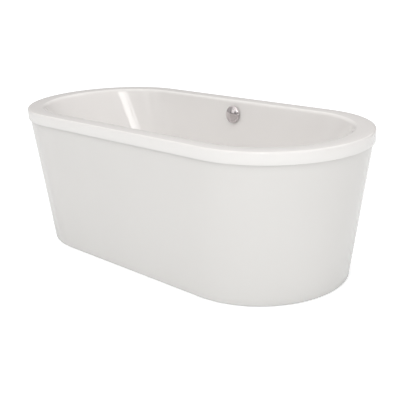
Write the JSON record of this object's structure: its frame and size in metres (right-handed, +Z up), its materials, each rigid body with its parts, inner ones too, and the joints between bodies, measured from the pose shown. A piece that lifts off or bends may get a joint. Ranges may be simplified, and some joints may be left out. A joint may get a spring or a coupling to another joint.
{
  "type": "freestanding bathtub",
  "caption": "Oval-ended double-skin freestanding bath with a tapered skirt, a flat turned-down rim, sloping backrests and a round rotary overflow knob.",
  "frame": {"origin": "on the floor, under the middle of the bath", "axes": "+X along the bath, +Y across it towards the side with the overflow, +Z up"},
  "size_m": [1.7, 0.77, 0.595],
  "materials": {
    "acrylic": "gloss",
    "board": "matt",
    "galvanised_steel": "satin",
    "zinc_plate": "satin",
    "black_rubber": "matt",
    "chrome": "polished",
    "white_plastic": "matt",
    "grey_plastic": "matt"
  },
  "bodies": {
    "bath": {"bath_shell": "acrylic", "outer_skirt": "acrylic", "base_board": "board", "frame_rail_front": "galvanised_steel", "frame_rail_rear": "galvanised_steel", "cross_rail_left": "galvanised_steel", "cross_rail_right": "galvanised_steel", "cross_rail_centre": "galvanised_steel", "rail_screw_1": "zinc_plate", "rail_screw_2": "zinc_plate", "rail_screw_3": "zinc_plate", "rail_screw_4": "zinc_plate", "rail_screw_5": "zinc_plate", "rail_screw_6": "zinc_plate", "bracket_screw_1": "zinc_plate", "bracket_screw_2": "zinc_plate", "bracket_screw_3": "zinc_plate", "bracket_screw_4": "zinc_plate", "skirt_bracket_1": "zinc_plate", "skirt_bracket_2": "zinc_plate", "skirt_bracket_3": "zinc_plate", "skirt_bracket_4": "zinc_plate", "foot_lock_nut_1": "zinc_plate", "foot_lock_nut_2": "zinc_plate", "foot_lock_nut_3": "zinc_plate", "foot_lock_nut_4": "zinc_plate", "foot_lock_nut_5": "zinc_plate", "lifter_pin": "zinc_plate", "overflow_seal": "black_rubber", "waste_gasket": "black_rubber", "waste_lower_seal": "black_rubber", "control_cable": "black_rubber", "overflow_face_plate": "chrome", "waste_flange": "chrome", "overflow_body": "white_plastic", "waste_body": "white_plastic", "trap_body": "white_plastic", "overflow_hose": "white_plastic", "hose_nut_upper": "grey_plastic", "hose_nut_lower": "grey_plastic", "trap_inlet_nut": "grey_plastic", "trap_cleaning_cap": "grey_plastic", "trap_outlet_nut": "grey_plastic"},
    "knob": {"overflow_knob": "chrome", "overflow_spindle": "zinc_plate", "cable_drum": "white_plastic"},
    "plug": {"waste_plug": "chrome", "plug_seal": "black_rubber"},
    "lifter": {"plug_lifter": "white_plastic"},
    "foot_1": {"foot_pad_1": "black_rubber", "foot_stud_1": "zinc_plate"},
    "foot_2": {"foot_pad_2": "black_rubber", "foot_stud_2": "zinc_plate"},
    "foot_3": {"foot_pad_3": "black_rubber", "foot_stud_3": "zinc_plate"},
    "foot_4": {"foot_pad_4": "black_rubber", "foot_stud_4": "zinc_plate"},
    "foot_5": {"foot_pad_5": "black_rubber", "foot_stud_5": "zinc_plate"}
  },
  "joints": [
    {"name": "knob_turn", "type": "hinge", "parent": "bath", "child": "knob", "pos_m": [0, 0.30688, 0.534], "axis": [0, -0.989, 0.1478], "range_deg": [0, 90]},
    {"name": "plug_lift", "type": "slide", "parent": "bath", "child": "plug", "axis": [0, 0, 1], "range_m": [0, 0.008]},
    {"name": "lifter_swing", "type": "hinge", "parent": "bath", "child": "lifter", "pos_m": [0, 0.017, 0.1], "axis": [-1, 0, 0], "range_deg": [0, 32]},
    {"name": "foot_1_height", "type": "slide", "parent": "bath", "child": "foot_1", "axis": [0, 0, 1], "range_m": [-0.015, 0.005]},
    {"name": "foot_2_height", "type": "slide", "parent": "bath", "child": "foot_2", "axis": [0, 0, 1], "range_m": [-0.015, 0.005]},
    {"name": "foot_3_height", "type": "slide", "parent": "bath", "child": "foot_3", "axis": [0, 0, 1], "range_m": [-0.015, 0.005]},
    {"name": "foot_4_height", "type": "slide", "parent": "bath", "child": "foot_4", "axis": [0, 0, 1], "range_m": [-0.015, 0.005]},
    {"name": "foot_5_height", "type": "slide", "parent": "bath", "child": "foot_5", "axis": [0, 0, 1], "range_m": [-0.015, 0.005]}
  ],
  "couplings": [
    {"joint": "plug_lift", "follows": "knob_turn", "m_per_rad": 0.0050929},
    {"joint": "lifter_swing", "follows": "knob_turn", "ratio": 0.3555}
  ]
}
